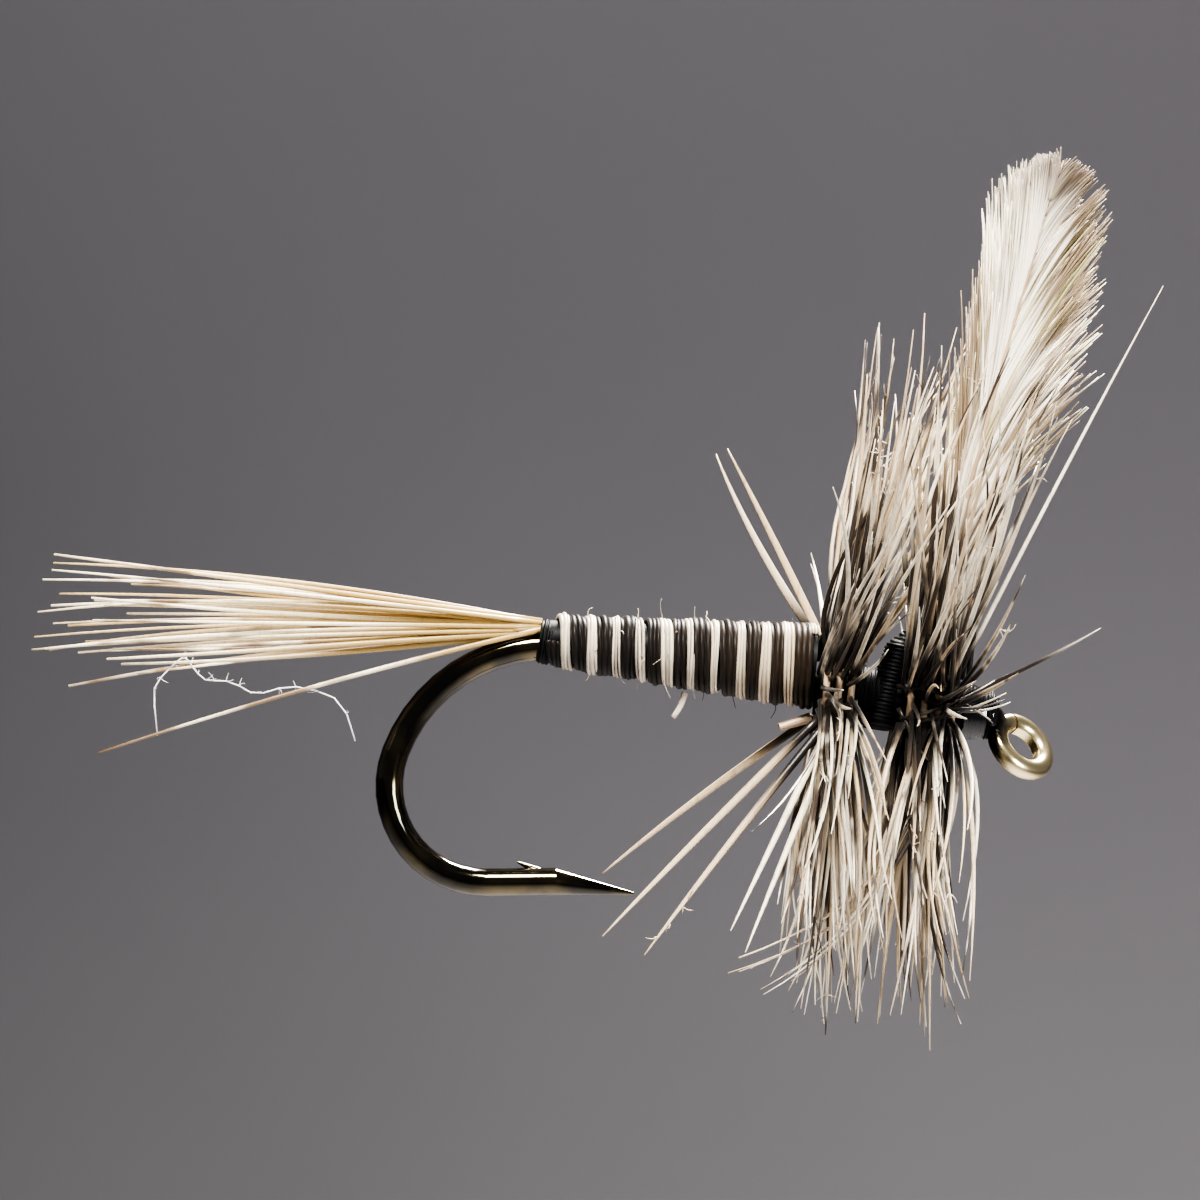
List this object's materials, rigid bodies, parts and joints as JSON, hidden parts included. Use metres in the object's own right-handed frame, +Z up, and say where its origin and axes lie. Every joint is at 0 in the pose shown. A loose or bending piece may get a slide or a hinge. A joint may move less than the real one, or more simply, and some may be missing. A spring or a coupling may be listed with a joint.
{
  "type": "dry fly",
  "caption": "Dry fly on a down-eye hook, with upright feather wings, hackle wound before and behind them, a two-tone wound-hair body and a fibre tail.",
  "frame": {"origin": "centre of the hole through the hook eye", "axes": "+X forward along the shank, towards the eye; +Y across the hook's plane; +Z up, towards the wings"},
  "size_m": [0.0158, 0.0105, 0.0137],
  "materials": {
    "hook_wire": "bronzed steel wire, smooth and very glossy",
    "black_thread": "waxed fine thread, satin",
    "clear_varnish": "clear head varnish, wet gloss",
    "light_hair": "cream hair, silky sheen",
    "dark_hair": "black-brown hair, satin",
    "tail_fibre": "straw and cream fibres, silky",
    "feather_stem": "pale feather quill, satin",
    "grizzly_web": "cream feather web with dark bars",
    "grizzly_barb": "barred brown-black and cream barbs, glossy",
    "white_down": "loose white down, matt"
  },
  "bodies": {
    "root": {"hook": "hook_wire", "thread_base": "black_thread", "tail_fibres": "tail_fibre", "tail_butts": "tail_fibre", "tail_binding": "black_thread", "underbody_taper": "black_thread", "light_hair_winding": "light_hair", "dark_hair_winding": "dark_hair", "hair_tag_end": "light_hair", "down_wisp": "white_down", "thorax_wraps": "black_thread", "wing_butts": "feather_stem", "wing_post_wraps": "black_thread", "wing_figure_eight": "black_thread", "left_wing_stem": "feather_stem", "right_wing_stem": "feather_stem", "left_wing_leading_vane": "grizzly_web", "left_wing_trailing_vane": "grizzly_web", "right_wing_leading_vane": "grizzly_web", "right_wing_trailing_vane": "grizzly_web", "rear_hackle_stem": "feather_stem", "rear_hackle_barbs": "grizzly_barb", "front_hackle_stem": "feather_stem", "front_hackle_barbs": "grizzly_barb", "hackle_butts": "feather_stem", "stray_barbs": "grizzly_barb", "head_wraps": "black_thread", "whip_finish": "black_thread", "head_cement": "clear_varnish"}
  },
  "joints": []
}
